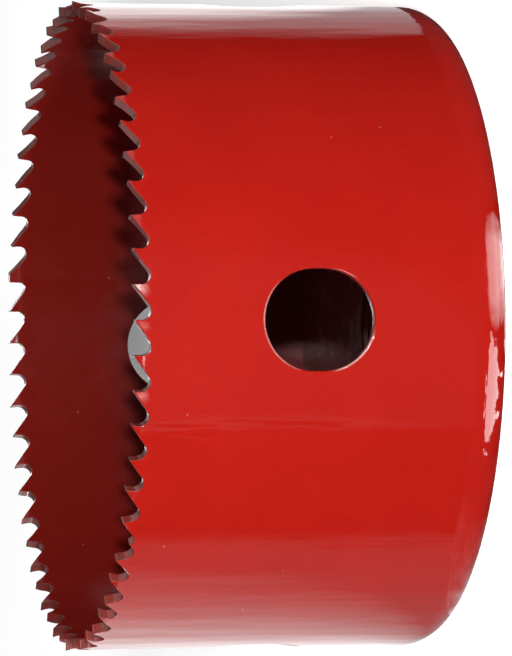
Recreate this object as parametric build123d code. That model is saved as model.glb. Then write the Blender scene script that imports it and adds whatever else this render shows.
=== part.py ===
from build123d import *
import math
import os

os.makedirs("parts", exist_ok=True)

# ---------------------------------------------------------------------------
# Hole saw: a rolled and butt-welded toothed band, welded round its lower edge
# to a thick back plate that carries the arbor thread and the drive-pin holes.
# Millimetres. The outside of the back plate lies on z = 0, the saw's axis is Z
# and the teeth point up, which is the way the saw stands on a bench.
# ---------------------------------------------------------------------------

# Cup
saw_diameter = 83.0            # a 3 1/4 in saw, over the band, without the set
overall_height = 47.8          # back face to the middle of the tooth tips
band_thickness = 1.3           # strip the band is rolled from
outer_radius = saw_diameter / 2
inner_radius = outer_radius - band_thickness
mean_radius = outer_radius - band_thickness / 2

# Back plate
shoulder_radius = 4.5          # rounded edge, the part that shows below the band
register_height = 2.5          # spigot that centres the band
register_clearance = 0.05      # spigot to band, on the radius
plate_thickness = shoulder_radius + register_height

# Arbor thread 5/8-18 UNF, cut as a plain bore at its minor diameter
thread_minor_diameter = 14.5
thread_countersink = 0.7       # lead-in at each end of the thread

# Drive-pin holes
pin_hole_diameter = 6.6
pin_circle_diameter = 27.0
pin_hole_count = 4
pin_first_angle = 45.0

# Side holes, for chips and for levering out the plug. They are punched in the
# flat strip at one pitch; the weld takes up the rest of the turn.
side_hole_count = 4
side_hole_first_angle = -90.0
side_hole_pitch_angle = 88.7
side_hole_height = 24.6        # centre above the back face
side_hole_length = 13.7        # along the axis
side_hole_width = 12.5         # round the band

# Teeth: hook form, six to the inch, milled straight across the strip
tooth_count = 59
tooth_depth = 2.1              # tip to the bottom of the gullet
gullet_radius = 1.08
tooth_first_angle = -90.0      # where the tip of tooth 0 stands

# Tooth 28 stands on the weld and keeps a wide tip; the gullet after it is
# small. Before tooth 53 the cutter was stepped on, which leaves a low nib.
weld_tooth = 28
weld_tip_land = 1.2
weld_approach_angle = 7.1      # tooth 27 to the face of tooth 28
after_weld_angle = 5.6
after_weld_radius = 0.82
step_tooth = 52
step_angle = 8.6               # tooth 52 to tooth 53
nib_offset = 2.35              # face of the nib, ahead of tooth 52
nib_gullet_radius = 0.75
nib_gullet_depth = 1.95
regular_pitch_angle = (
    360.0 - weld_approach_angle - after_weld_angle - step_angle
) / (tooth_count - 3)

# Set: every other tooth outward, the ones between inward. The count is odd, so
# the two teeth either side of the nib both lean outward. The bend runs along
# the foot of the tooth's face, where the round of the gullet begins.
set_amount = 0.3               # how far a set tip moves from the band's face
crown_blank = 0.3              # strip above the tips before the teeth are cut
bend_height_below_tip = tooth_depth - gullet_radius
bend_z = overall_height - bend_height_below_tip


def reach_mm(degrees):
    """How far round the strip an angle reaches, on the plane it starts from."""
    return math.tan(math.radians(degrees)) * mean_radius


def ring(lean, z_low, z_top):
    """Band blank between two heights, its top leaning out by lean."""
    with BuildPart() as shell:
        with BuildSketch(Plane.XZ):
            Polygon(
                (inner_radius, z_low),
                (outer_radius, z_low),
                (outer_radius + lean, z_top),
                (inner_radius + lean, z_top),
                align=None,
            )
        revolve(axis=Axis.Z, revolution_arc=360)
    return shell.part


def gullet(tip_angle, pitch, radius=gullet_radius, depth=tooth_depth,
           land=0.0, ahead=0.0):
    """What the cutter takes out between one tooth's face and the next tip.

    Drawn on the plane that touches the strip at the tip: u runs the way the
    saw turns and v is the height above the tips. The tooth's face drops
    straight from the tip; the round follows, and the back of the next tooth
    climbs straight from the round to that tooth's own tip, one pitch on.
    """
    clear = 1.0
    centre_u = radius
    centre_v = radius - depth
    heel_u = pitch - land
    # the back touches the round and runs to the heel of the next tip
    reach = math.hypot(heel_u - centre_u, centre_v)
    back = math.atan2(-centre_v, heel_u - centre_u) + math.asin(radius / reach)
    face_top = (0.0, clear)
    face_foot = (0.0, centre_v)
    back_foot = (centre_u + radius * math.sin(back),
                 centre_v - radius * math.cos(back))
    middle = (math.pi + 1.5 * math.pi + back) / 2
    with BuildSketch(Plane.XZ) as profile:
        with BuildLine():
            Line(face_top, face_foot)
            ThreePointArc(
                face_foot,
                (centre_u + radius * math.cos(middle),
                 centre_v + radius * math.sin(middle)),
                back_foot,
            )
            if land > 0:
                Polyline(back_foot, (heel_u, 0.0), (pitch + clear, 0.0),
                         (pitch + clear, clear), face_top)
            else:
                Polyline(back_foot, (heel_u + clear / math.tan(back), clear),
                         face_top)
        make_face()
    tool = extrude(profile.sketch, amount=6.0, both=True)
    # at azimuth -90 the way the saw turns is +X
    tool = tool.moved(Location((ahead, -mean_radius, overall_height)))
    return tool.rotate(Axis.Z, tip_angle + 90.0)


# ------------------------------ tooth spacing ------------------------------
tips = [tooth_first_angle]
for k in range(1, tooth_count):
    step = regular_pitch_angle
    if k == weld_tooth:
        step = weld_approach_angle
    elif k == weld_tooth + 1:
        step = after_weld_angle
    elif k == step_tooth + 1:
        step = step_angle
    tips.append(tips[-1] + step)

gullets = []
for k, tip in enumerate(tips):
    if k == weld_tooth - 1:
        gullets.append(gullet(tip, reach_mm(weld_approach_angle),
                              land=weld_tip_land))
    elif k == weld_tooth:
        gullets.append(gullet(tip, reach_mm(after_weld_angle),
                              radius=after_weld_radius))
    elif k == step_tooth:
        gullets.append(gullet(tip, reach_mm(regular_pitch_angle)))
        gullets.append(gullet(tip, reach_mm(step_angle) - nib_offset,
                              radius=nib_gullet_radius,
                              depth=nib_gullet_depth, ahead=nib_offset))
    else:
        gullets.append(gullet(tip, reach_mm(regular_pitch_angle)))

# ------------------------------ the band -----------------------------------
lower_ring = ring(0.0, shoulder_radius, bend_z).cut(*gullets)

with BuildSketch(Plane.XZ) as hole_sketch:
    SlotCenterToCenter(side_hole_length - side_hole_width, side_hole_width,
                       rotation=90)
hole_tool = extrude(hole_sketch.sketch, amount=6.0, both=True)
hole_tool = hole_tool.moved(Location((0, -mean_radius, side_hole_height)))
# counted back from the first hole, so the long space falls on the weld
hole_angles = [
    side_hole_first_angle - k * side_hole_pitch_angle for k in (-1, 0, 1, 2)
]
lower_ring = lower_ring.cut(
    *[hole_tool.rotate(Axis.Z, angle + 90.0) for angle in hole_angles]
)

teeth = []
for side, lean in enumerate((set_amount, -set_amount)):
    blank_lean = lean * (1 + crown_blank / bend_height_below_tip)
    crown = ring(blank_lean, bend_z, overall_height + crown_blank).cut(*gullets)
    for tooth in crown.solids():
        centre = tooth.center()
        azimuth = math.degrees(math.atan2(centre.Y, centre.X))
        # a tooth's middle lies just behind its own tip
        behind = [(tip - azimuth) % 360.0 for tip in tips]
        number = behind.index(min(behind))
        if (number + (number > step_tooth)) % 2 == side:
            teeth.append(tooth)

band = lower_ring.fuse(*teeth)
export_step(band, "parts/saw_band.step")

# ------------------------------ the back plate -----------------------------
spigot_radius = inner_radius - register_clearance
bore_radius = thread_minor_diameter / 2
pin_radius = pin_hole_diameter / 2
corner = shoulder_radius * (1 - math.sqrt(0.5))

with BuildPart() as plate_build:
    with BuildSketch(Plane.XZ):
        with BuildLine():
            Line((bore_radius + thread_countersink, 0),
                 (outer_radius - shoulder_radius, 0))
            ThreePointArc(
                (outer_radius - shoulder_radius, 0),
                (outer_radius - corner, corner),
                (outer_radius, shoulder_radius),
            )
            Polyline(
                (outer_radius, shoulder_radius),
                (spigot_radius, shoulder_radius),
                (spigot_radius, plate_thickness),
                (bore_radius + thread_countersink, plate_thickness),
                (bore_radius, plate_thickness - thread_countersink),
                (bore_radius, thread_countersink),
                (bore_radius + thread_countersink, 0),
            )
        make_face()
    revolve(axis=Axis.Z, revolution_arc=360)

pin_angles = [
    math.radians(pin_first_angle + k * 360.0 / pin_hole_count)
    for k in range(pin_hole_count)
]
plate = plate_build.part.cut(
    *[
        Cylinder(pin_radius, 3 * plate_thickness).moved(
            Location((pin_circle_diameter / 2 * math.cos(angle),
                      pin_circle_diameter / 2 * math.sin(angle), 0))
        )
        for angle in pin_angles
    ]
)
export_step(plate, "parts/back_plate.step")
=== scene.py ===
import math

import bpy
import numpy as np
from mathutils import Matrix


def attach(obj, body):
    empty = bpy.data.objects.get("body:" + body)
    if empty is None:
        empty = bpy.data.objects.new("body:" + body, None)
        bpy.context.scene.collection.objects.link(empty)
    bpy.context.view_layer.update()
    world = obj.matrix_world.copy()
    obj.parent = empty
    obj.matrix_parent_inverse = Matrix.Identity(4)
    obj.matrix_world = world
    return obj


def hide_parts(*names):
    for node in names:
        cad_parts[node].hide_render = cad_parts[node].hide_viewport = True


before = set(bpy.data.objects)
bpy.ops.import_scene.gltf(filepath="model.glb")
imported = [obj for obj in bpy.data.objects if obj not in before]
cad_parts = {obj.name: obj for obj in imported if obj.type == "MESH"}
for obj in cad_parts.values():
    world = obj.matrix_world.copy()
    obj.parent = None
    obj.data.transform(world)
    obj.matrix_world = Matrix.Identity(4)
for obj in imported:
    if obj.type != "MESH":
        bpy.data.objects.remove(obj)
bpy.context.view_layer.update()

# ---------------------------------------------------------------------------
# Sizes of the saw in millimetres and degrees, as the solids have them.
# ---------------------------------------------------------------------------
HEIGHT = 47.8
OUTER = 41.5
INNER = 40.2
MEAN = (OUTER + INNER) / 2
SHOULDER = 4.5
PLATE = 7.0
SPIGOT = INNER - 0.05
BORE = 7.25
LEAD_IN = 0.7
PIN_RADIUS = 3.3
PIN_CIRCLE = 13.5              # radius of the circle of pin holes
PIN_ANGLES = (45, 135, 225, 315)
HOLE_ANGLES = (-1.3, -90.0, -178.7, -267.4)
HOLE_Z = 24.6
HOLE_RADIUS = 6.25
HOLE_HALF_RUN = 0.6            # half of the straight part of the obround
TEETH = 59
FIRST_TIP = -90.0
DEPTH = 2.1
GULLET = 1.08
WELD_TOOTH = 28
WELD_LAND = 1.2
WELD_APPROACH = 7.1
AFTER_WELD = 5.6
AFTER_WELD_GULLET = 0.82
STEP_TOOTH = 52
STEP_ANGLE = 8.6
NIB_OFFSET = 2.35
NIB_GULLET = 0.75
NIB_DEPTH = 1.95
PITCH = (360 - WELD_APPROACH - AFTER_WELD - STEP_ANGLE) / (TEETH - 3)
SET = 0.3
BEND = DEPTH - GULLET          # the set bends this far below the tips
BEND_Z = HEIGHT - BEND

# Sizes that only the finish has
TOOTH_EDGE = 0.10              # round of the teeth's edges
HOLE_LIP_OUT = 0.32            # rounds of the side holes, outside and inside
HOLE_LIP_IN = 0.18
PLATE_LIP = 0.15               # round of the pin holes and of the lead-ins
SPIGOT_LIP = 0.3
THREAD_PITCH = 25.4 / 18
THREAD_MAJOR = 15.875 / 2
WELD_ANGLE = 79.8              # the butt weld of the strip

# How the meshes are laid out
TURN = 2 * math.pi * MEAN      # length of the unrolled strip
TIP_CLEAR = 0.27               # first point beside a sharp tip
LAND_CLEAR = 0.14              # first point beside the wide tip
NIB_CLEAR = 0.25               # no point of the gullet nearer to the nib
FOOT_Z = HEIGHT - 3.3          # below this the wall is plain
FOOT_SHEAR = 0.55              # columns under a tip start this far back
WALL_START = -90               # azimuth of the wall's first column
WALL_COLUMNS = 360             # one to a degree
HOLE_PATCH = 9.0               # half height and, in columns, half width of the
HOLE_COLUMNS = 13              # part of the wall that is laid round a side hole

# Painted highlights on three teeth, pale paint where they would glint: azimuth, strength and half
# width
TOOTH_HIGHLIGHTS = ((-102.8, 0.5, 0.7), (-84.6, 0.7, 0.8), (-91.0, 0.35, 0.5))
HIGHLIGHT_HALF_HEIGHT = 0.66
HIGHLIGHT_BELOW_TIP = 0.95
# Painted highlights on the side holes' lips, as pale arcs: the way from the hole's
# centre, the cosine to it where the arc begins, what more makes it full, and its strength
LIP_HIGHLIGHTS = ((-0.22, 0.97, 0.45, 0.40, 1.2), (-0.72, -0.69, 0.84, 0.10, 2.0))


# ---------------------------------------------------------------------------
# A skin gathers points, normals and faces. Rows run the way the azimuth grows;
# strips are laid from one row to the next with their outside on the right hand.
# ---------------------------------------------------------------------------
class Skin:
    def __init__(self):
        self.points, self.normals, self.faces, self.slots = [], [], [], []
        # pale: painted highlights, as how much highlight colour each point gets
        self.pale = []
        self.count = 0

    def add(self, points, normals):
        """Puts points in and gives their numbers, in the same layout."""
        points = np.asarray(points, float)
        normals = np.broadcast_to(normals, points.shape)
        normals = normals / np.linalg.norm(normals, axis=-1, keepdims=True)
        added = points.size // 3
        index = np.arange(self.count, self.count + added).reshape(points.shape[:-1])
        self.points.append(points.reshape(-1, 3))
        self.normals.append(normals.reshape(-1, 3))
        self.count += added
        return index

    def quad(self, a, b, c, d, slot=0):
        quads = np.stack([a, b, c, d], -1).reshape(-1, 4)
        self.faces.extend(quads.tolist())
        self.slots.extend([slot] * len(quads))

    def strip(self, a, b, slot=0):
        self.quad(a, np.roll(a, -1), np.roll(b, -1), b, slot)

    def strips(self, rows, slot=0):
        for a, b in zip(rows[:-1], rows[1:]):
            self.strip(a, b, slot)

    def mend(self, a, turn_a, b, turn_b, slot=0):
        """Triangles between two closed rows whose points are spaced unlike.
        turn_a and turn_b are their places round the turn, 1 to a whole turn."""
        i = j = 0
        n, m = len(a), len(b)
        while i < n or j < m:
            place_a = turn_a[(i + 1) % n] + (i + 1) // n
            place_b = turn_b[(j + 1) % m] + (j + 1) // m
            if j >= m or (i < n and place_a <= place_b):
                self.faces.append([int(a[i % n]), int(a[(i + 1) % n]), int(b[j % m])])
                i += 1
            else:
                self.faces.append([int(a[i % n]), int(b[(j + 1) % m]), int(b[j % m])])
                j += 1
            self.slots.append(slot)

    def make(self, name):
        mesh = bpy.data.meshes.new(name)
        points = np.concatenate(self.points) * 0.001
        mesh.from_pydata(points.tolist(), [], self.faces)
        mesh.polygons.foreach_set("use_smooth", [True] * len(mesh.polygons))
        mesh.polygons.foreach_set("material_index", self.slots)
        mesh.update()
        mesh.normals_split_custom_set_from_vertices(
            np.concatenate(self.normals).tolist()
        )
        # the painted highlights become the point attribute pale
        pale = np.zeros(self.count)
        for index, value in self.pale:
            pale[index] = np.maximum(pale[index], value)
        mesh.attributes.new("pale", "FLOAT", "POINT").data.foreach_set("value", pale)
        piece = bpy.data.objects.new(name, mesh)
        bpy.context.scene.collection.objects.link(piece)
        return piece


def polar(theta, r, z):
    """Points at this azimuth, radius and height."""
    theta, r, z = np.broadcast_arrays(theta, r, z)
    return np.stack([r * np.cos(theta), r * np.sin(theta), z], -1)


def direction(theta, radial, around, up):
    """Vector with these parts along the radius, the turn and the axis."""
    theta, radial, around, up = np.broadcast_arrays(theta, radial, around, up)
    c, s = np.cos(theta), np.sin(theta)
    return np.stack([radial * c - around * s, radial * s + around * c, up], -1)


def cells(skin, grid, blocks, slot=0, flip=False):
    """Faces of a closed grid (rows, turn), leaving out blocks of cells."""
    rows, turn = grid.shape
    keep = np.ones((rows - 1, turn), bool)
    for low, high, first, last in blocks:
        keep[low:high, np.arange(first, last) % turn] = False
    r, t = np.nonzero(keep)
    a, b = grid[r, t], grid[r, (t + 1) % turn]
    c, d = grid[r + 1, (t + 1) % turn], grid[r + 1, t]
    if flip:
        a, b, c, d = d, c, b, a
    skin.quad(a, b, c, d, slot)


def frame_of(grid, low, high, first, last):
    """The closed row of points round a block of cells."""
    turn = grid.shape[1]
    along = np.arange(first, last)
    up = np.arange(low, high)
    return np.concatenate([
        grid[low, along % turn],
        grid[up, np.full(len(up), last % turn)],
        grid[high, (np.arange(last, first, -1)) % turn],
        grid[np.arange(high, low, -1), np.full(high - low, first % turn)],
    ])


# ---------------------------------------------------------------------------
# The toothed band
# ---------------------------------------------------------------------------
def reach(degrees):
    """How far an angle reaches on the plane that touches the strip."""
    return math.tan(math.radians(degrees)) * MEAN


def gullet_line(pitch, radius=GULLET, depth=DEPTH, land=0.0):
    """Points (u, v, h) from one tip along its face, round the gullet and up the
    back of the next tooth, the next tip left out. h is 1 at the tip, falls to 0
    at the foot of the face, is 0 in the round and rises again up the back."""
    heel = pitch - land
    cu, cv = radius, radius - depth
    back = math.atan2(-cv, heel - cu) + math.asin(radius / math.hypot(heel - cu, cv))
    points = [(0.0, 0.0, 1.0)]
    for v in (-TIP_CLEAR, (cv - TIP_CLEAR) / 2):
        points.append((0.0, v, 1.0 - v / cv))
    round_points = 15
    for a in np.linspace(math.pi, 1.5 * math.pi + back, round_points):
        points.append((cu + radius * math.cos(a), cv + radius * math.sin(a), 0.0))
    fu, fv = points[-1][:2]
    run = math.hypot(heel - fu, fv)
    clear = TIP_CLEAR if land == 0 else LAND_CLEAR
    back_points = 5
    for d in np.linspace(0, run - clear, back_points + 1)[1:]:
        t = d / run
        points.append((fu + (heel - fu) * t, fv * (1 - t), t))
    if land > 0:
        points.append((heel, 0.0, 1.0))
        for t in (0.35, 0.7, 0.88):
            points.append((heel + land * t, 0.0, 1.0))
    return points


def nib_line():
    """The long step: a gullet up to the nib, then the nib's own gullet."""
    first = gullet_line(reach(PITCH))
    second = gullet_line(reach(STEP_ANGLE) - NIB_OFFSET, NIB_GULLET, NIB_DEPTH)
    nib = NIB_OFFSET + 0.03    # the nib's top, just past its face
    line = [p for p in first if p[0] < nib - NIB_CLEAR]
    back = [p for p in first if p[2] > 0 and p[0] > GULLET]
    a, b = back[0], back[-1]
    nib_v = a[1] + (b[1] - a[1]) * (nib - a[0]) / (b[0] - a[0])
    line.append((nib, nib_v, 0.0))
    # of the nib's face only what lies below its top is left
    below_top = 0.22
    line += [(u + NIB_OFFSET, v, h) for u, v, h in second[3:]
             if v < nib_v - below_top or u > NIB_GULLET]
    return line


def crown_line():
    """The whole toothed edge: azimuth, height from the tips, side that the tooth
    leans to (1 out, -1 in) and how near its tip the point is, 1 being on it."""
    theta, height, side, near_tip = [], [], [], []
    tip = math.radians(FIRST_TIP)
    for k in range(TEETH):
        step = PITCH
        if k == WELD_TOOTH - 1:
            step = WELD_APPROACH
            line = gullet_line(reach(WELD_APPROACH), land=WELD_LAND)
        elif k == WELD_TOOTH:
            step = AFTER_WELD
            line = gullet_line(reach(AFTER_WELD), AFTER_WELD_GULLET)
        elif k == STEP_TOOTH:
            step = STEP_ANGLE
            line = nib_line()
        else:
            line = gullet_line(reach(PITCH))
        for u, v, h in line:
            theta.append(tip + math.atan(u / MEAN))
            height.append(v)
            owner = (k if u < GULLET * 0.5 else k + 1) % TEETH
            side.append(-1.0 if (owner + (owner > STEP_TOOTH)) % 2 else 1.0)
            near_tip.append(h)
        tip += math.radians(step)
    return (np.array(q) for q in (theta, height, side, near_tip))


def lean_of(z):
    """How far the set has leaned at height z, and its slope, for a side of 1."""
    h = (z - BEND_Z) / BEND
    soft = 0.16                # the bend is rounded this far either way, as a share
    curve = np.where(h > soft, h, np.where(h < -soft, 0.0, (h + soft) ** 2 / (4 * soft)))
    slope = np.where(h > soft, 1.0, np.where(h < -soft, 0.0, (h + soft) / (2 * soft)))
    return SET * curve, SET * slope / BEND


def seam(theta, outside):
    """The butt weld: ground a little low outside, a low bead inside. Gives how
    far it moves the wall out, and the slope of that round the strip."""
    d = (np.asarray(theta) - math.radians(WELD_ANGLE) + math.pi) % (2 * math.pi) - math.pi
    d = d * MEAN
    width, rise = (1.3, -0.03) if outside else (1.0, -0.10)
    bump = rise * np.exp(-(d / width) ** 2)
    return bump, bump * -2 * d / width ** 2


def wall_points(skin, theta, z, outside, side=0.0):
    """Points of a face of the strip, with the set and the weld."""
    lean, slope = lean_of(z)
    bump, tilt = seam(theta, outside)
    r = (OUTER if outside else INNER) + side * lean + bump
    sign = 1.0 if outside else -1.0
    normals = sign * direction(theta, 1.0, -tilt, -side * slope)
    return skin.add(polar(theta, r, z), normals)


def wall_grids(skin):
    """The plain wall outside and inside, and where the side holes break it."""
    theta = math.radians(WALL_START) + np.arange(WALL_COLUMNS) * 2 * math.pi / WALL_COLUMNS
    low_z, high_z = HOLE_Z - HOLE_PATCH, HOLE_Z + HOLE_PATCH
    first_row, steps = 7, 24
    heights = np.concatenate([
        np.linspace(SHOULDER, low_z, first_row + 1)[:-1],
        np.linspace(low_z, high_z, steps + 1),
        np.linspace(high_z, FOOT_Z, 7)[1:],
    ])
    t, z = np.meshgrid(theta, heights)
    grids = {outside: wall_points(skin, t, z, outside) for outside in (True, False)}
    blocks = []
    for angle in HOLE_ANGLES:
        middle = round((angle - WALL_START) % 360)
        blocks.append((first_row, first_row + steps,
                       middle - HOLE_COLUMNS, middle + HOLE_COLUMNS))
    cells(skin, grids[True], blocks)
    cells(skin, grids[False], blocks, slot=2, flip=True)
    return theta, grids, blocks


def obround(a):
    """Where a line from the hole's centre at angle a meets the hole's edge, and
    the edge's outward normal there, both as parts round the strip and up it."""
    ca, sa = np.cos(a), np.sin(a)
    far = HOLE_HALF_RUN * np.abs(sa) + np.sqrt(HOLE_RADIUS ** 2 - (HOLE_HALF_RUN * ca) ** 2)
    straight = HOLE_RADIUS / np.maximum(np.abs(ca), 1e-6)
    on_side = np.abs(straight * sa) < HOLE_HALF_RUN
    out = np.where(on_side, straight, far)
    hx, hz = out * ca, out * sa
    mx = np.where(on_side, np.sign(ca), hx / HOLE_RADIUS)
    mz = np.where(on_side, 0.0, (hz - HOLE_HALF_RUN * np.sign(sa)) / HOLE_RADIUS)
    size = np.hypot(mx, mz)
    return hx, hz, mx / size, mz / size


def side_hole(skin, grids, angle, block):
    """The wall round one side hole, its two lips and its bore."""
    ring_out = frame_of(grids[True], *block)
    ring_in = frame_of(grids[False], *block)
    start = np.concatenate(skin.points)[ring_out]
    t = np.arctan2(start[:, 1], start[:, 0]) - angle
    t = (t + math.pi) % (2 * math.pi) - math.pi
    x, z = OUTER * np.sin(t), start[:, 2] - HOLE_Z
    hx, hz, mx, mz = obround(np.arctan2(z, x))
    into_hole = np.stack([mx * math.sin(angle), -mx * math.cos(angle), -mz], -1)

    def at(x_, z_, rho, face, bore):
        """A row at these places round the strip and up it. face and bore are
        the parts of its normals along the radius and into the hole."""
        turned = angle + np.arcsin(x_ / rho)
        normal = direction(turned, face, 0.0, 0.0) + bore * into_hole
        return skin.add(polar(turned, rho, HOLE_Z + z_), normal)

    def flat(f, x0, lip_size, rho, face):
        """A row on the wall, a share f of the way to the lip."""
        return at(x0 + (hx + mx * lip_size - x0) * f,
                  z + (hz + mz * lip_size - z) * f, rho, face, 0.0)

    def lip(q, lip_size, rho, face):
        """A row of the rounded lip: q is 0 on the wall and 90 in the bore."""
        q = math.radians(q)
        offset = lip_size * (1 - math.sin(q))
        depth = face * lip_size * (1 - math.cos(q))
        return at(hx + mx * offset, hz + mz * offset, rho - depth,
                  face * math.cos(q), math.sin(q))

    rows = [ring_out]
    for f in (0.3, 0.6, 0.85):
        rows.append(flat(f, x, HOLE_LIP_OUT, OUTER, 1.0))
    for q in (0, 18, 36, 54, 72, 90):
        rows.append(lip(q, HOLE_LIP_OUT, OUTER, 1.0))
        # painted highlight arcs on the outer lip: none on the wall and none in the bore
        fade = math.sin(math.radians(q)) ** 0.5 * math.cos(math.radians(q))
        for way_x, way_z, begin, grow, strength in LIP_HIGHLIGHTS:
            arc = np.clip((way_x * mx + way_z * mz - begin) / grow, 0, 1)
            skin.pale.append((rows[-1], strength * arc * fade))
    for q in (90, 60, 30, 0):
        rows.append(lip(q, HOLE_LIP_IN, INNER, -1.0))
    for f in (0.75, 0.4):
        rows.append(flat(f, x * INNER / OUTER, HOLE_LIP_IN, INNER, -1.0))
    rows.append(ring_in)
    skin.strips(rows[:8])
    skin.strips(rows[7:11], slot=1)
    skin.strips(rows[10:], slot=2)


def edge_directions(s, v):
    """Two directions at each point of the toothed edge on the unrolled strip,
    both into the strip: of length 1, and as long as an inset of 1 needs."""
    ds = np.roll(s, -1) - s
    ds[-1] += TURN
    dv = np.roll(v, -1) - v
    length = np.hypot(ds, dv)
    ahead = np.stack([dv / length, -ds / length], -1)
    both = ahead + np.roll(ahead, 1, 0)
    both /= np.linalg.norm(both, axis=1, keepdims=True)
    least = 0.38               # keeps the inset of a sharp tip short
    spread = np.clip((both * ahead).sum(1), least, 1.0)
    return both, both / spread[:, None]


def crown(skin, wall_theta, grids):
    """The teeth, from the wall up the outside, over the edge, down the inside."""
    theta, v, side, near_tip = crown_line()
    s = theta * MEAN
    both, inward = edge_directions(s, v)
    edge_z = HEIGHT + v
    foot_s = s - FOOT_SHEAR * near_tip

    def inset(offset):
        return (s + inward[:, 0] * offset) / MEAN, edge_z + inward[:, 1] * offset

    def edge_row(q, outside):
        """A row of the rounded edge: q is 0 on the face and 90 on the edge."""
        q = math.radians(q)
        t, z = inset(TOOTH_EDGE * (1 - math.sin(q)))
        lean, slope = lean_of(z)
        sign = 1.0 if outside else -1.0
        drop = sign * TOOTH_EDGE * (1 - math.cos(q))
        r = (OUTER if outside else INNER) - drop + side * lean
        normals = direction(t, sign * math.cos(q), -math.sin(q) * both[:, 0],
                            -math.sin(q) * both[:, 1] - sign * math.cos(q) * side * slope)
        return skin.add(polar(t, r, z), normals)

    rows_out, rows_in = [], []
    top_theta, top_z = inset(TOOTH_EDGE)
    for f in (0.0, 0.22, 0.42, 0.6, 0.76, 0.9):
        t = foot_s / MEAN + (top_theta - foot_s / MEAN) * f
        z = FOOT_Z + (top_z - FOOT_Z) * f
        rows_out.append(wall_points(skin, t, z, True, side))
        rows_in.append(wall_points(skin, t, z, False, side))
        # painted highlights near the tips of three teeth
        for angle, strength, half_width in TOOTH_HIGHLIGHTS:
            gap = (t - math.radians(angle) + math.pi) % (2 * math.pi) - math.pi
            away = np.hypot(gap * MEAN / half_width,
                            (z - HEIGHT + HIGHLIGHT_BELOW_TIP) / HIGHLIGHT_HALF_HEIGHT)
            skin.pale.append((rows_out[-1], strength * np.clip(1.4 - away, 0, 1)))
    for q in (0, 30, 60, 90):
        rows_out.append(edge_row(q, True))
        rows_in.append(edge_row(q, False))
    skin.strips(rows_out[:8])
    skin.strips(rows_out[7:9], slot=1)
    skin.strips([rows_out[-2], rows_out[-1], rows_in[-1], rows_in[-2]], slot=1)
    inside = rows_in[::-1]
    skin.strips(inside[1:3], slot=1)
    skin.strips(inside[2:], slot=2)

    # stitch the crown to the wall
    foot_place = foot_s / TURN - foot_s[0] / TURN
    wall_place = wall_theta / (2 * math.pi)
    first = int(np.argmin(np.abs(wall_place - foot_s[0] / TURN)))
    place = np.roll(wall_place, -first) - foot_s[0] / TURN
    place = np.where(place < place[0] - 1e-9, place + 1, place)
    for outside, rows in ((True, rows_out), (False, rows_in)):
        wall = np.roll(grids[outside][-1], -first)
        if outside:
            skin.mend(wall, place, rows[0], foot_place)
        else:
            skin.mend(rows[0], foot_place, wall, place, slot=2)


def band_mesh():
    skin = Skin()
    wall_theta, grids, blocks = wall_grids(skin)
    for angle, block in zip(HOLE_ANGLES, blocks):
        side_hole(skin, grids, math.radians(angle), block)
    crown(skin, wall_theta, grids)
    # the lower edge, seated on the plate
    skin.strip(grids[False][0], grids[True][0])
    return skin.make("band")


# ---------------------------------------------------------------------------
# The back plate
# ---------------------------------------------------------------------------
UP = np.array([0.0, 0.0, 1.0])
DOWN = -UP
PLATE_COLUMNS = 192
LEAD = BORE + LEAD_IN          # radius of the lead-ins at the faces
LEAD_LIP = LEAD + PLATE_LIP
LEAD_DROP = 0.06               # height of the round where a lead-in starts
LEAD_TILT = 0.7                # how far its normals turn to the axis


def pin_hole(skin, back, top, angle, block):
    """The two faces round one pin hole, its lips and its bore."""
    low, high = frame_of(back, *block), frame_of(top, *block)
    start = np.concatenate(skin.points)[low][:, :2]
    centre = PIN_CIRCLE * np.array([math.cos(angle), math.sin(angle)])
    away = start - centre
    away /= np.linalg.norm(away, axis=1, keepdims=True)

    def at(xy, z, normal):
        return skin.add(np.column_stack([xy, np.full(len(xy), z)]), normal)

    def flat(f, z, normal):
        """A row on a face, a share f of the way to the lip."""
        lip_xy = centre + away * (PIN_RADIUS + PLATE_LIP)
        return at(start + (lip_xy - start) * f, z, normal)

    def lip(q, z, up):
        """A row of the rounded lip: q is 0 on the face and 90 in the bore."""
        q = math.radians(q)
        normal = np.column_stack([-away * math.sin(q), np.full(len(away), up * math.cos(q))])
        return at(centre + away * (PIN_RADIUS + PLATE_LIP * (1 - math.sin(q))),
                  z - up * PLATE_LIP * (1 - math.cos(q)), normal)

    rows = [low]
    rows += [flat(f, 0.0, DOWN) for f in (0.4, 0.75)]
    rows += [lip(q, 0.0, -1.0) for q in (0, 30, 60, 90)]
    rows += [lip(q, PLATE, 1.0) for q in (90, 60, 30, 0)]
    rows += [flat(f, PLATE, UP) for f in (0.75, 0.4)]
    rows.append(high)
    skin.strips(rows[:7])
    skin.strips(rows[6:], slot=1)


def thread_radius(theta, z):
    """The arbor thread, cut right through between its lead-ins."""
    place = (z / THREAD_PITCH - theta / (2 * math.pi)) % 1.0
    ramp = np.abs(place * 2 - 1)               # 0 at the root, 1 at the crest
    root_end, crest_start = 0.12, 0.76
    depth = np.clip((crest_start - ramp) / (crest_start - root_end), 0.0, 1.0)
    rounded = 0.35             # share of a rounded flank in a straight one
    depth = depth * depth * (3 - 2 * depth) * rounded + depth * (1 - rounded)
    r = BORE + (THREAD_MAJOR - BORE) * depth
    from_face = np.minimum(z, PLATE - z)
    return np.maximum(r, LEAD - from_face)


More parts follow.
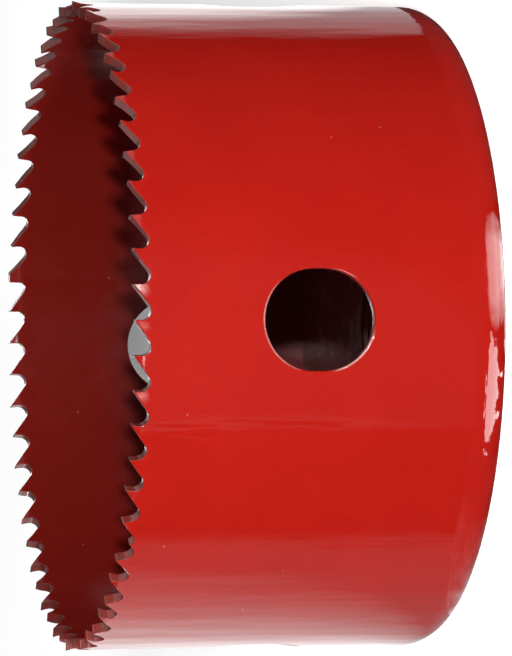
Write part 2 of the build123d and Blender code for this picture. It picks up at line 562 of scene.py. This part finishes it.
def plate_mesh():
    skin = Skin()
    theta = np.arange(PLATE_COLUMNS) * 2 * math.pi / PLATE_COLUMNS

    def ring(r, z, nr, nz):
        return skin.add(polar(theta, r, z), direction(theta, nr, 0.0, nz))

    # two flat faces, with finer rings where the pin holes break them
    inner_rings, pin_steps = [LEAD_LIP, 8.6], 12
    radii = inner_rings + list(np.linspace(9.0, 18.0, pin_steps + 1)) + [22.0, 27.0, 32.0]
    t, r = np.meshgrid(theta, radii + [OUTER - SHOULDER])
    back = skin.add(polar(t, r, 0.0), DOWN)
    t, r = np.meshgrid(theta, radii + [SPIGOT - SPIGOT_LIP])
    top = skin.add(polar(t, r, PLATE), UP)
    blocks = []
    half = 12
    for angle in PIN_ANGLES:
        middle = round(angle / 360 * PLATE_COLUMNS)
        blocks.append((len(inner_rings), len(inner_rings) + pin_steps,
                       middle - half, middle + half))
    cells(skin, back, blocks)
    cells(skin, top, blocks, slot=1, flip=True)
    for angle, block in zip(PIN_ANGLES, blocks):
        pin_hole(skin, back, top, math.radians(angle), block)

    # the rounded shoulder, the seat of the band and the spigot
    rows = [back[-1]]
    for q in np.radians(np.linspace(0, 90, 25)[1:]):
        rows.append(ring(OUTER - SHOULDER + SHOULDER * math.sin(q),
                         SHOULDER - SHOULDER * math.cos(q), math.sin(q), -math.cos(q)))
    skin.strips(rows)
    skin.strips([ring(OUTER, SHOULDER, 0.0, 1.0), ring(SPIGOT, SHOULDER, 0.0, 1.0)])
    rows = [ring(SPIGOT, SHOULDER, 1.0, 0.0), ring(SPIGOT, PLATE - SPIGOT_LIP, 1.0, 0.0)]
    for q in np.radians((30, 60)):
        rows.append(ring(SPIGOT - SPIGOT_LIP * (1 - math.cos(q)),
                         PLATE - SPIGOT_LIP * (1 - math.sin(q)), math.cos(q), math.sin(q)))
    rows.append(top[-1])
    skin.strips(rows, slot=1)

    def lead_row(q, z, up):
        """A row of the round at a lead-in's start: q is 0 on the face."""
        return ring(LEAD_LIP - PLATE_LIP * math.sin(q), z - up * LEAD_DROP * (1 - math.cos(q)),
                    -math.sin(q) * LEAD_TILT, up * math.cos(q))

    # the bore, down from the inner face
    rows = [top[0]]
    rows += [lead_row(q, PLATE, 1.0) for q in np.radians((30, 60))]
    e = 0.02                   # step for the slopes of the thread
    for z in np.linspace(PLATE, 0.0, 97)[1:-1]:
        around = (thread_radius(theta + e / BORE, z) - thread_radius(theta - e / BORE, z)) / (2 * e)
        along = (thread_radius(theta, z + e) - thread_radius(theta, z - e)) / (2 * e)
        rows.append(skin.add(polar(theta, thread_radius(theta, z), z),
                             direction(theta, -1.0, around, along)))
    rows += [lead_row(q, 0.0, -1.0) for q in np.radians((60, 30))]
    rows.append(back[0])
    skin.strips(rows, slot=1)
    return skin.make("plate")


band = band_mesh()
plate = plate_mesh()


# ---------------------------------------------------------------------------
# Materials
# ---------------------------------------------------------------------------
class Nodes:
    """A node tree, with short calls for what is used here."""

    def __init__(self, tree, blend="LINEAR"):
        self.tree = tree
        self.blend = blend                     # how a ramp runs from end to end

    def link(self, a, b):
        self.tree.links.new(a, b)

    def new(self, kind, **values):
        node = self.tree.nodes.new(kind)
        for key, value in values.items():
            setattr(node, key, value)
        return node

    def put(self, socket, value):
        if hasattr(value, "links"):
            self.link(value, socket)
        else:
            socket.default_value = value

    def math(self, operation, *terms, clamp=False):
        node = self.new("ShaderNodeMath", operation=operation, use_clamp=clamp)
        for socket, value in zip(node.inputs, terms):
            self.put(socket, value)
        return node.outputs[0]

    def plus(self, a, b):
        return self.math("ADD", a, b)

    def times(self, a, b):
        return self.math("MULTIPLY", a, b)

    def ramp(self, value, low, high, a=0.0, b=1.0):
        """a up to low, b from high on, and a run from one to the other."""
        node = self.new("ShaderNodeMapRange", interpolation_type=self.blend)
        self.put(node.inputs["Value"], value)
        for key, number in zip(("From Min", "From Max", "To Min", "To Max"), (low, high, a, b)):
            node.inputs[key].default_value = number
        return node.outputs["Result"]

    def place_mm(self):
        """The place on the object, in millimetres."""
        place = self.new("ShaderNodeTexCoord")
        scale = self.new("ShaderNodeMapping")
        scale.inputs["Scale"].default_value = (1000.0, 1000.0, 1000.0)
        self.link(place.outputs["Object"], scale.inputs["Vector"])
        return scale.outputs["Vector"]

    def noise(self, vector, size, detail=2.0, rough=0.5):
        node = self.new("ShaderNodeTexNoise")
        node.inputs["Scale"].default_value = 1.0 / size
        node.inputs["Detail"].default_value = detail
        node.inputs["Roughness"].default_value = rough
        self.link(vector, node.inputs["Vector"])
        return node.outputs["Fac"]

    def seen(self):
        """1 for what the camera, a glossy or a transmitted ray sees, 0 otherwise."""
        path = self.new("ShaderNodeLightPath")
        total = path.outputs["Is Camera Ray"]
        for name in ("Is Glossy Ray", "Is Transmission Ray"):
            total = self.math("MAXIMUM", total, path.outputs[name])
        return total


def bare_material(name):
    """A material with nothing in it but its output."""
    material = bpy.data.materials.new(name)
    material.use_nodes = True
    material.node_tree.nodes.clear()
    out = material.node_tree.nodes.new("ShaderNodeOutputMaterial")
    return material, out.inputs["Surface"]


# Colours of the paint, linear
RED = (0.580, 0.0150, 0.0088)
# the next red is a darker copy for the cup's inside: painted shade
SHADED_INNER_RED = (0.43, 0.021, 0.014)
# the red of the painted shade low in the cup
LOW_SHADE_RED = (0.210, 0.040, 0.040, 1)
BARE_EDGE = (0.16, 0.072, 0.060, 1)
# colour of the painted highlights on teeth and hole lips
HIGHLIGHT_PAINT = (0.95, 0.50, 0.47, 1)
PALE_SPECK = (0.80, 0.36, 0.32, 1)
DARK_SPECK = (0.20, 0.02, 0.015, 1)
# painted shade: the cup's inside darkens from this height down to the next
SHADE_FROM = 37.0                # the cup's inside darkens from this height down
SHADE_TO = 27.0                  # to this one


def tint(red, r, g, b):
    """This red with its three parts scaled."""
    return (red[0] * r, red[1] * g, red[2] * b, 1)


class Paint(Nodes):
    def __init__(self, name):
        self.material, surface = bare_material(name)
        super().__init__(self.material.node_tree, "SMOOTHSTEP")
        self.shader = self.new("ShaderNodeBsdfPrincipled")
        self.link(self.shader.outputs[0], surface)
        self.mm = self.place_mm()

    def relief(self, size, height, detail=2.0, vector=None):
        """Noise of this size and this height, both in mm."""
        return self.times(self.noise(vector or self.mm, size, detail), height)

    def patches(self, size, detail, rough, low, high, a=0.0, b=1.0):
        """Noise of this size in mm: a where it is under low, b where over high."""
        return self.ramp(self.noise(self.mm, size, detail, rough), low, high, a, b)

    def mix(self, factor, a, b):
        node = self.new("ShaderNodeMix", data_type="RGBA")
        self.put(node.inputs["Factor"], factor)
        self.put(node.inputs[6], a)
        self.put(node.inputs[7], b)
        return node.outputs[2]

    def specks(self, cell, radius, shift=0.0):
        """One round spot to a cell: 1 in the middle, 0 outside."""
        node = self.new("ShaderNodeTexVoronoi", feature="F1")
        node.inputs["Scale"].default_value = 1.0 / cell
        node.inputs["Randomness"].default_value = 1.0
        move = self.new("ShaderNodeMapping")
        move.inputs["Location"].default_value = (shift, shift * 0.7, shift * 1.3)
        self.link(self.mm, move.inputs["Vector"])
        self.link(move.outputs["Vector"], node.inputs["Vector"])
        return self.ramp(node.outputs["Distance"], radius / cell, 0.3 * radius / cell)

    def bump(self, height_mm):
        node = self.new("ShaderNodeBump")
        node.inputs["Strength"].default_value = 1.0
        node.inputs["Distance"].default_value = 0.001
        self.link(height_mm, node.inputs["Height"])
        return node.outputs["Normal"]


def enamel(name, red=RED, thin=0.0, rough=(0.05, 0.09), ior=1.5, painted_low_shade=False):
    """Gloss enamel. thin is how much of BARE_EDGE shows through it at most;
    painted_low_shade darkens it toward the bottom of the cup, as painted shade."""
    n = Paint(name)
    # relief: ripples and sags drawn out along the axis, orange peel and specks
    drawn = n.new("ShaderNodeMapping")
    drawn.inputs["Scale"].default_value = (1.0, 1.0, 0.16)
    n.link(n.mm, drawn.inputs["Vector"])
    drawn = drawn.outputs[0]
    ripple = n.relief(size=2.2, height=0.065, vector=drawn)
    sag = n.relief(size=5.5, height=0.17, detail=1.0, vector=drawn)
    swell = n.relief(size=26.0, height=0.05, detail=1.0)
    peel = n.relief(size=1.1, height=0.0022)
    nibs = n.specks(cell=5.2, radius=0.22)
    dark = n.specks(cell=11.0, radius=0.22, shift=31.0)
    dust = n.specks(cell=3.4, radius=0.10, shift=57.0)
    height = n.plus(n.plus(swell, ripple), n.plus(sag, peel))
    height = n.plus(height, n.times(nibs, 0.030))
    height = n.plus(height, n.times(dust, 0.015))
    n.link(n.bump(height), n.shader.inputs["Normal"])
    # colour: faint clouding, a fine mottle, a coarser grain and specks
    cloud = n.patches(size=11.0, detail=4.0, rough=0.6, low=0.3, high=0.7)
    colour = n.mix(cloud, tint(red, 0.96, 0.93, 0.93), tint(red, 1.02, 1.05, 1.06))
    mottle = n.patches(size=0.34, detail=2.0, rough=0.7, low=0.35, high=0.65)
    colour = n.mix(n.times(mottle, 0.20), colour, tint(red, 1.18, 1.6, 1.7))
    grain = n.patches(size=0.9, detail=3.0, rough=0.7, low=0.42, high=0.62)
    colour = n.mix(n.times(grain, 0.14), colour, tint(red, 0.86, 0.75, 0.75))
    colour = n.mix(n.times(nibs, 0.5), colour, PALE_SPECK)
    colour = n.mix(n.times(dark, 0.6), colour, DARK_SPECK)
    # painted highlights on the teeth and the hole lips, broken up a little
    pale = n.new("ShaderNodeAttribute", attribute_name="pale").outputs["Fac"]
    broken = n.patches(size=0.35, detail=2.0, rough=0.6, low=0.30, high=0.60, a=0.45, b=1.0)
    colour = n.mix(n.math("MULTIPLY", pale, broken, clamp=True), colour, HIGHLIGHT_PAINT)
    if thin:
        worn = n.patches(size=0.9, detail=3.0, rough=0.6, low=0.25, high=0.75,
                         a=0.45 * thin, b=thin)
        colour = n.mix(worn, colour, BARE_EDGE)
    # painted shade, darker toward the bottom of the cup
    if painted_low_shade:
        height_in = n.new("ShaderNodeSeparateXYZ")
        n.link(n.mm, height_in.inputs[0])
        upper = n.ramp(height_in.outputs[2], SHADE_TO, SHADE_FROM)
        colour = n.mix(upper, LOW_SHADE_RED, colour)
    n.link(colour, n.shader.inputs["Base Color"])
    gloss = n.patches(size=4.0, detail=3.0, rough=0.6, low=0.3, high=0.75, a=rough[0], b=rough[1])
    n.link(gloss, n.shader.inputs["Roughness"])
    n.shader.inputs["IOR"].default_value = ior
    return n.material


paint = enamel("gloss_enamel")
edge_paint = enamel("thin_enamel", thin=0.85, rough=(0.18, 0.34))
# the cup's inside: a darker red as painted shade, rougher, and darker still low down as painted
# shade
shaded_inner_paint = enamel("shaded_inner_enamel", SHADED_INNER_RED, rough=(0.20, 0.30), ior=1.30, painted_low_shade=True)
for piece, node, slots in ((band, "saw_band", (paint, edge_paint, shaded_inner_paint)),
                           (plate, "back_plate", (paint, shaded_inner_paint))):
    for material in slots:
        piece.data.materials.append(material)
    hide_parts(node)
    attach(piece, "root")


# ---------------------------------------------------------------------------
# Floor and world. Bearings are degrees round the saw, from its front (-Y)
# toward +X; rises are degrees above the floor.
# ---------------------------------------------------------------------------
def sheet_mesh(name, corners):
    """A flat sheet of the stage, in metres."""
    mesh = bpy.data.meshes.new(name)
    mesh.from_pydata(corners, [], [tuple(range(len(corners)))])
    item = bpy.data.objects.new(name, mesh)
    bpy.context.scene.collection.objects.link(item)
    return item


def pale_floor(seen_albedo, other_albedo, glow):
    """A diffuse floor that keeps the saw's shadow. It is pale and glows a little
    where it is seen, and is darker to the light that it sends up."""
    material, surface = bare_material("pale_floor")
    n = Nodes(material.node_tree)
    seen = n.seen()
    level = n.ramp(seen, 0.0, 1.0, other_albedo, seen_albedo)
    grey = n.new("ShaderNodeCombineColor")
    for channel in grey.inputs[:3]:
        n.link(level, channel)
    diffuse = n.new("ShaderNodeBsdfDiffuse")
    n.link(grey.outputs[0], diffuse.inputs["Color"])
    emission = n.new("ShaderNodeEmission")
    n.link(n.ramp(seen, 0.0, 1.0, 0.0, glow), emission.inputs["Strength"])
    both = n.new("ShaderNodeAddShader")
    n.link(diffuse.outputs[0], both.inputs[0])
    n.link(emission.outputs[0], both.inputs[1])
    n.link(both.outputs[0], surface)
    return material


FLOOR_HALF = 4.0               # metres
floor = sheet_mesh("floor", [(-FLOOR_HALF, -FLOOR_HALF, 0), (FLOOR_HALF, -FLOOR_HALF, 0),
                             (FLOOR_HALF, FLOOR_HALF, 0), (-FLOOR_HALF, FLOOR_HALF, 0)])
floor.data.materials.append(pale_floor(seen_albedo=0.8, other_albedo=0.22, glow=0.20))

world = bpy.data.worlds.new("studio")
bpy.context.scene.world = world
world.use_nodes = True
sky = Nodes(world.node_tree, "SMOOTHSTEP")
# what it sheds comes mostly from low down, so that the cup is dark inside
place = sky.new("ShaderNodeTexCoord")
split = sky.new("ShaderNodeSeparateXYZ")
sky.link(place.outputs["Generated"], split.inputs[0])
shed = sky.ramp(split.outputs[2], 0.10, 0.45, 0.30, 0.03)
blend = sky.new("ShaderNodeMix")
sky.link(sky.seen(), blend.inputs["Factor"])
sky.link(shed, blend.inputs[2])
blend.inputs[3].default_value = 1.0
background = sky.tree.nodes["Background"]
background.inputs["Color"].default_value = (1, 1, 1, 1)
sky.link(blend.outputs[0], background.inputs["Strength"])


# ---------------------------------------------------------------------------
# Lamps
# ---------------------------------------------------------------------------
def standing(side, up, away, place):
    """Matrix of something at a place, turned to these three directions."""
    turn = Matrix(np.column_stack([side, up, away]).tolist()).to_4x4()
    return Matrix.Translation([float(q) for q in place]) @ turn


def lamp(name, bearing, rise, far, size, level, aim=(0, 0, 0.024)):
    """Soft box this far from the point it aims at, in metres; level is what it
    adds to a white surface that faces it."""
    b, e = math.radians(bearing), math.radians(rise)
    away = np.array((math.sin(b) * math.cos(e), -math.cos(b) * math.cos(e), math.sin(e)))
    side = np.cross((0, 0, 1), away)
    side /= np.linalg.norm(side)
    data = bpy.data.lights.new(name, "AREA")
    data.shape = "RECTANGLE"
    data.size, data.size_y = size
    data.energy = level * math.pi ** 2 * far * far
    item = bpy.data.objects.new(name, data)
    bpy.context.scene.collection.objects.link(item)
    item.matrix_world = standing(side, np.cross(away, side), away, np.array(aim) + away * far)
    return item


def only_on(box, pieces):
    """Lets a lamp light these pieces and no other."""
    lit = bpy.data.collections.new(box.name + "_lights")
    for piece in pieces:
        lit.objects.link(piece)
    box.light_linking.receiver_collection = lit


# the key stands no higher than the teeth, so little of it falls into the cup
lamp("key", bearing=-13, rise=0.0, far=1.3, size=(0.45, 0.044), level=0.42, aim=(0, 0, 0.0255))
lamp("fill", bearing=6.0, rise=10.5, far=1.5, size=(0.034, 0.034), level=0.29, aim=(0, 0, 0.045))
lamp("side", bearing=-115, rise=4.0, far=1.4, size=(0.3, 0.1), level=0.17)
# a box behind for the saw alone, and one in front for the floor alone
back_box = lamp("back_box", bearing=178, rise=9.0, far=1.5, size=(0.6, 0.3), level=0.30)
floor_box = lamp("floor_box", bearing=-3, rise=15.0, far=1.6, size=(0.4, 0.12), level=5.2,
                 aim=(0, 0.05, 0))
only_on(floor_box, [floor])
only_on(back_box, [band, plate])


# ---------------------------------------------------------------------------
# Cards, which the gloss mirrors. Places on them are in mm. A level is how bright
# a card glows, and a ramp on a bearing runs from one level to another.
# ---------------------------------------------------------------------------
SWEEP_Z = 0.15                 # the cards on the floor lie one above the other
FLAG_Z = 0.25
SHADE_Z = 0.35
GLINT_Z = 0.45


class Card(Nodes):
    """A sheet that only glossy rays see. Its level is a number or, with use, a
    figure of the place on it; a sheet of level 0 is mirrored black."""

    def __init__(self, name, corners_mm, level=0.0):
        item = sheet_mesh(name, [tuple(float(q) * 0.001 for q in c) for c in corners_mm])
        material, surface = bare_material(name)
        super().__init__(material.node_tree)
        self.glow = self.new("ShaderNodeEmission")
        self.glow.inputs["Strength"].default_value = level
        self.link(self.glow.outputs[0], surface)
        self.mm = self.place_mm()
        split = self.new("ShaderNodeSeparateXYZ")
        self.link(self.mm, split.inputs[0])
        self.x, self.y = split.outputs[0], split.outputs[1]
        item.data.materials.append(material)
        item.visible_camera = item.visible_diffuse = False
        item.visible_transmission = item.visible_shadow = False

    def bearing(self, start=(0.0, 0.0, 0.0)):
        """Degrees round a point from the front toward +X."""
        return self.math("DEGREES", self.math(
            "ARCTAN2", self.math("SUBTRACT", self.x, float(start[0])),
            self.math("SUBTRACT", float(start[1]), self.y)))

    def radius(self):
        return self.math("SQRT", self.plus(self.times(self.x, self.x),
                                           self.times(self.y, self.y)))

    def use(self, level):
        self.link(level, self.glow.inputs["Strength"])


def at_bearing(a, r=OUTER):
    return np.array((r * math.sin(math.radians(a)), -r * math.cos(math.radians(a)), 0.0))


def upright(x1, y1, x2, y2, low, high):
    """Corners of an upright rectangle over the line between two places."""
    return [(x1, y1, low), (x2, y2, low), (x2, y2, high), (x1, y1, high)]


# a wide sweep round the saw, bright behind and at the left
sweep = Card("pale_sweep", [at_bearing(a, 900) + (0, 0, SWEEP_Z) for a in range(-180, 180, 10)])
turn = sweep.bearing()
right = sweep.plus(sweep.ramp(turn, 120, 137, 0.7, 2.0), sweep.ramp(turn, 150, 179, 0.0, -1.13))
left = sweep.plus(sweep.ramp(turn, -119, -87, 1.0, 0.18), sweep.ramp(turn, -96, -85, 0.37, 0.22))
left = sweep.plus(left, sweep.ramp(turn, -145, -119, 0.2, 0.0))
left = sweep.plus(left, sweep.ramp(turn, -163, -149, -0.7, 0.0))
side = sweep.math("GREATER_THAN", turn, 0.0)
sweep.use(sweep.plus(sweep.times(right, side),
                     sweep.times(left, sweep.math("SUBTRACT", 1.0, side))))

# a dark flag over the front, fanning out from two places on the wall
flag_right, flag_left = at_bearing(65.4), at_bearing(-42.5)
flag = [flag_right, flag_right + at_bearing(132, 600)]
flag += [at_bearing(b, 850) for b in (110, 85, 60, 30, 0, -30, -60, -80)]
flag += [flag_left + at_bearing(-86, 600), flag_left]
dark = Card("dark_flag", [c + (0, 0, FLAG_Z) for c in flag])
# a faint pale part in front, cut off at the left by a bright streak
turn = dark.bearing(at_bearing(-18.3))
front = dark.times(dark.ramp(turn, -36.5, -35.5), dark.ramp(turn, 24, 44, 0.12, 0.0))
streak = dark.times(dark.ramp(turn, -37.5, -36.0), dark.ramp(turn, -35.0, -31.5, 0.24, 0.0))
streak = dark.times(streak, dark.ramp(dark.radius(), 75, 130, 0.1, 1.0))
ends = dark.plus(dark.ramp(dark.bearing(flag_right), 122, 131.5, 0.0, 0.6),
                 dark.ramp(dark.bearing(flag_left), -85.5, -77, 0.34, 0.0))
dark.use(dark.plus(dark.plus(front, streak), ends))

# a dark foot, out to where the straight wall starts to be mirrored: bearing and
# radius of its rim
rim = [(-180, 37), (-76, 37), (-69, 41), (-63, 48), (-58, 55), (-30, 57.3), (0, 58), (30, 57.3),
       (59, 55), (78, 52.4), (97, 48.8), (110, 46.2), (130, 43.5), (180, 37)]
bearings = np.arange(-180, 180, 3)
radii = np.interp(bearings, *zip(*rim))
shade = Card("dark_foot", [at_bearing(a, r) + (0, 0, SHADE_Z) for a, r in zip(bearings, radii)])
cloudy = shade.ramp(shade.noise(shade.mm, 3.0), 0.35, 0.62, 0.5, 1.0)
shade.use(shade.times(cloudy, shade.ramp(shade.bearing(), -72, -38, 1.05, 0.05)))

# dark behind the teeth and over the front, so that edges and lips stay dark
Card("dark_back", upright(-700, 500, 700, 500, 90, 480), level=0.16)
Card("dark_front", upright(-1500, -1000, 150, -1000, 20, 900), level=0.04)
Card("dark_left", upright(-1500, -1000, -1500, 700, 60, 900), level=0.04)
Card("dark_top", [(-1500, -1000, 900), (150, -1000, 900), (150, 500, 900), (-1500, 500, 900)],
     level=0.04)

# a small bright box high at the right, for the teeth that lean in
HIGH_BEARING = 13.5
HIGH_FAR = 1100
HIGH_HALF_WIDTH = 70
middle = at_bearing(HIGH_BEARING, HIGH_FAR)
across = at_bearing(HIGH_BEARING + 90, HIGH_HALF_WIDTH)
first_end, last_end = middle - across, middle + across
Card("high_box", upright(*first_end[:2], *last_end[:2], 320, 540), level=15.0)


def glint(name, first, last, inner, outer, level, edge, grain, ragged):
    """A bright ragged patch on the floor by the saw's rounded shoulder, between
    two bearings and two radii. edge is how soft its rim is, grain the size of
    the rim's notches in mm and ragged how deep they go."""
    spare, corner_count = 2, 9
    turns = np.linspace(first - spare, last + spare, corner_count)
    corners = [at_bearing(a, inner - 1) for a in turns]
    corners += [at_bearing(a, outer + 1) for a in turns[::-1]]
    patch = Card(name, [c + (0, 0, GLINT_Z) for c in corners])
    # 1 in the middle of the patch and 0 on its rim, a square with round corners
    along = patch.ramp(patch.bearing(), first, last, -1.0, 1.0)
    across = patch.ramp(patch.radius(), inner, outer, -1.0, 1.0)
    cubes = [patch.math("POWER", patch.math("ABSOLUTE", q), 3.0) for q in (along, across)]
    inside = patch.math("SUBTRACT", 1.0, patch.plus(*cubes))
    noise = patch.noise(patch.mm, grain, 3.0)
    rag = patch.times(patch.math("SUBTRACT", noise, 0.5), ragged)
    patch.use(patch.ramp(patch.plus(inside, rag), 0.0, edge, 0.0, level))


glint("soft_glint", -1.5, 20.0, 38.7, 44.0, level=5.2, edge=0.8, grain=2.6, ragged=1.2)
glint("sharp_glint", -23.5, -4.0, 40.4, 43.8, level=7.0, edge=0.15, grain=1.5, ragged=2.4)
glint("edge_glint", -7.0, 20.0, 38.5, 39.3, level=2.5, edge=0.5, grain=2.6, ragged=0.3)

# ---------------------------------------------------------------------------
# Camera, fitted to the outline in the photo: the saw lies on its side in the
# picture, so the camera is rolled by a quarter turn
# ---------------------------------------------------------------------------
LENS = 307.1                   # mm, on a sensor 36 mm wide
CAMERA_PLACE = (-0.013831, -0.705385, 0.188294)
CAMERA_AWAY = (-0.018782, -0.973441, 0.228167)
CAMERA_RIGHT = (-0.005837, -0.228096, -0.973621)

data = bpy.data.cameras.new("camera")
data.sensor_width = 36.0
data.lens = LENS
data.clip_start, data.clip_end = 0.05, 20.0
camera = bpy.data.objects.new("camera", data)
bpy.context.scene.collection.objects.link(camera)
away = np.array(CAMERA_AWAY)
right = np.array(CAMERA_RIGHT)
away /= np.linalg.norm(away)
right -= away * right.dot(away)
right /= np.linalg.norm(right)
camera.matrix_world = standing(right, np.cross(away, right), away, CAMERA_PLACE)
bpy.context.scene.camera = camera

bpy.context.scene.view_settings.view_transform = "Standard"
